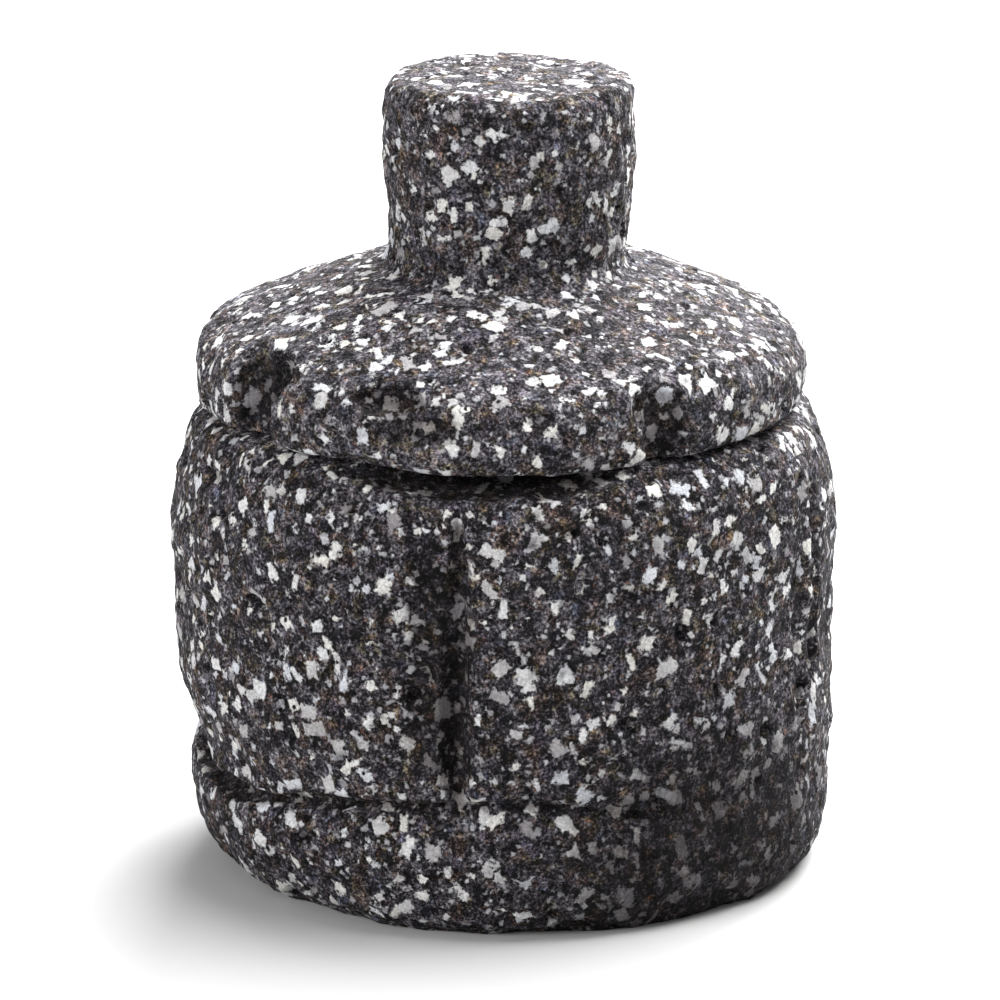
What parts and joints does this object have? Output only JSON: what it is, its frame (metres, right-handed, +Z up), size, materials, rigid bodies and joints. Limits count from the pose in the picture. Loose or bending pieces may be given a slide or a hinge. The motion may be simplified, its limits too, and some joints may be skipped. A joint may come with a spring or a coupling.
{
  "type": "lidded molcajete",
  "caption": "Small lobed stone mortar on a round foot, with a domed stone lid that lifts off by its knob and a hand stone kept inside.",
  "frame": {"origin": "centre of the base, on the surface that the mortar stands on", "axes": "+Z up along the mortar's axis and the lid's knob, -Y the front, where the groove between two lobes faces the viewer, +X to the viewer's right"},
  "size_m": [0.1298, 0.1299, 0.16],
  "materials": {
    "bowl_stone": "pecked dark basalt with white feldspar crystals",
    "lid_stone": "pecked dark basalt with white feldspar crystals",
    "tejolote_stone": "rubbed dark basalt with white feldspar crystals"
  },
  "bodies": {
    "mortar": {"bowl": "bowl_stone"},
    "lid": {"lid": "lid_stone"},
    "tejolote": {"tejolote": "tejolote_stone"}
  },
  "joints": [
    {"name": "lid_lift", "type": "slide", "parent": "mortar", "child": "lid", "axis": [0, 0, 1], "range_m": [0, 0.15]},
    {"name": "tejolote_sweep", "type": "hinge", "parent": "mortar", "child": "tejolote", "pos_m": [0, 0, 0.03], "axis": [0, 0, 1], "continuous": true}
  ]
}
